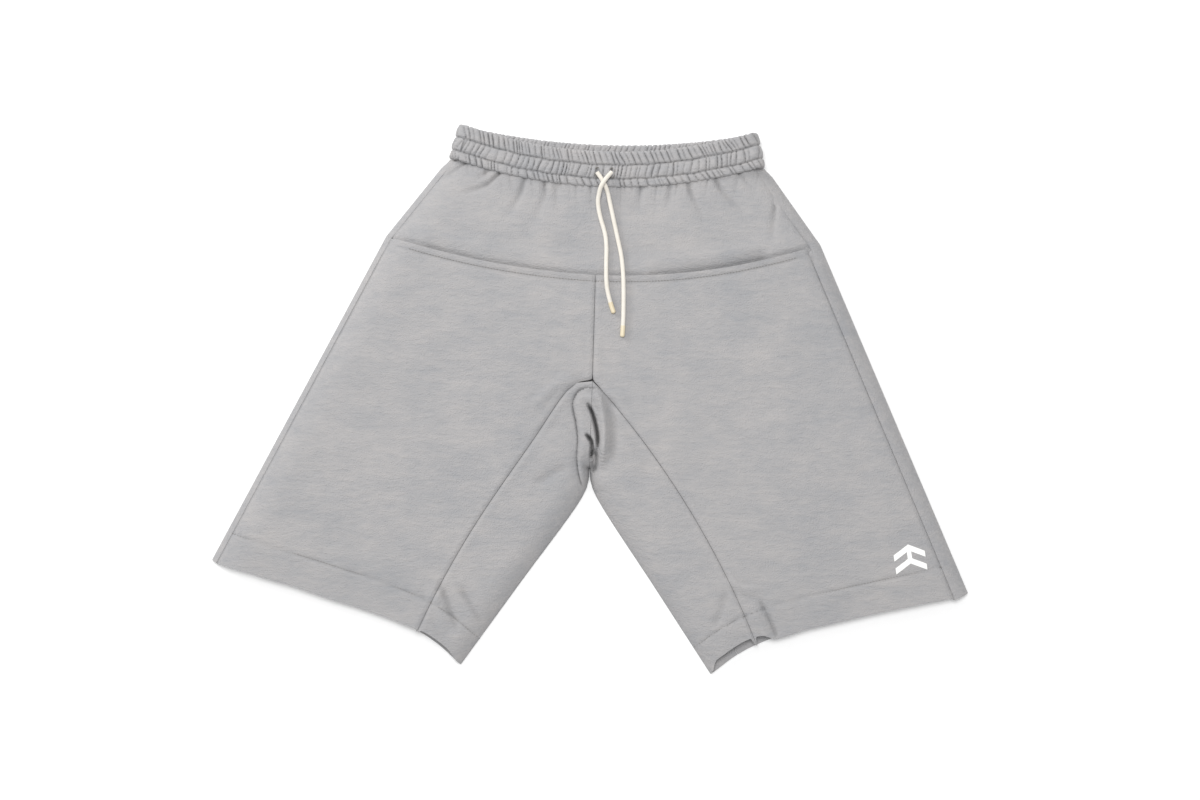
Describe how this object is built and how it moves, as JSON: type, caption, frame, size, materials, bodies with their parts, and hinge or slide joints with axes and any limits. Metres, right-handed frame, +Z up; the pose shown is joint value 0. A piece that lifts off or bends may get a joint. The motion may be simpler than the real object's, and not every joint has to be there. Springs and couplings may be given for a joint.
{
  "type": "padded shorts",
  "caption": "Loose knee-length padded shorts with a gathered drawcord waistband, slant front pockets, a crotch gusset and slide-in foam impact pads, laid flat on their back.",
  "frame": {"origin": "on the underside, at the middle of the shorts' footprint as they lie on their back", "axes": "+Y towards the waist, +X to the right of someone facing the front (the wearer's left), +Z up out of the front"},
  "size_m": [0.8684, 0.6306, 0.0361],
  "materials": {
    "fleece": "brushed-back fleece, matt",
    "elastic": "woven elastic",
    "drawcord": "round knitted cord, matt",
    "cord_tip": "dipped, satin",
    "thread": "spun polyester thread",
    "pocketing": "cotton jersey",
    "mesh": "warp-knit mesh",
    "foam": "moulded closed-cell foam",
    "print": "screen print"
  },
  "bodies": {
    "shorts": {"front_yoke": "fleece", "front_leg_left": "fleece", "front_leg_right": "fleece", "back_leg_left": "fleece", "back_leg_right": "fleece", "gusset_left": "fleece", "gusset_right": "fleece", "leg_print": "print", "waistband_casing": "fleece", "waist_elastic": "elastic", "buttonhole_left": "thread", "buttonhole_right": "thread", "drawcord_channel_run": "drawcord", "pocket_bag_left": "pocketing", "pocket_bartack_left_inner": "thread", "pocket_bartack_left_outer": "thread", "pocket_bag_right": "pocketing", "pocket_bartack_right_inner": "thread", "pocket_bartack_right_outer": "thread", "tailbone_sleeve": "mesh", "seat_left_sleeve": "mesh", "hip_left_sleeve": "mesh", "seat_right_sleeve": "mesh", "hip_right_sleeve": "mesh"},
    "cord_end_left": {"drawcord_tail_left": "drawcord", "cord_tip_left": "cord_tip"},
    "cord_end_right": {"drawcord_tail_right": "drawcord", "cord_tip_right": "cord_tip"},
    "tailbone_insert": {"tailbone_pad": "foam"},
    "seat_insert_left": {"seat_left_pad": "foam"},
    "seat_insert_right": {"seat_right_pad": "foam"},
    "hip_insert_left": {"hip_left_pad": "foam"},
    "hip_insert_right": {"hip_right_pad": "foam"}
  },
  "joints": [
    {"name": "drawcord_pull_left", "type": "slide", "parent": "shorts", "child": "cord_end_left", "axis": [0, -0.9901, 0.14], "range_m": [0, 0.06]},
    {"name": "drawcord_pull_right", "type": "slide", "parent": "shorts", "child": "cord_end_right", "axis": [0, -0.9901, 0.14], "range_m": [0, 0.06]},
    {"name": "tailbone_pad_slide", "type": "slide", "parent": "shorts", "child": "tailbone_insert", "axis": [0, 1, 0], "range_m": [0, 0.045]},
    {"name": "seat_pad_slide_left", "type": "slide", "parent": "shorts", "child": "seat_insert_left", "axis": [0, 1, 0], "range_m": [0, 0.09]},
    {"name": "seat_pad_slide_right", "type": "slide", "parent": "shorts", "child": "seat_insert_right", "axis": [0, 1, 0], "range_m": [0, 0.09]},
    {"name": "hip_pad_slide_left", "type": "slide", "parent": "shorts", "child": "hip_insert_left", "axis": [0, 1, 0], "range_m": [0, 0.08]},
    {"name": "hip_pad_slide_right", "type": "slide", "parent": "shorts", "child": "hip_insert_right", "axis": [0, 1, 0], "range_m": [0, 0.08]}
  ],
  "couplings": [
    {"joint": "drawcord_pull_right", "follows": "drawcord_pull_left", "ratio": 1}
  ]
}
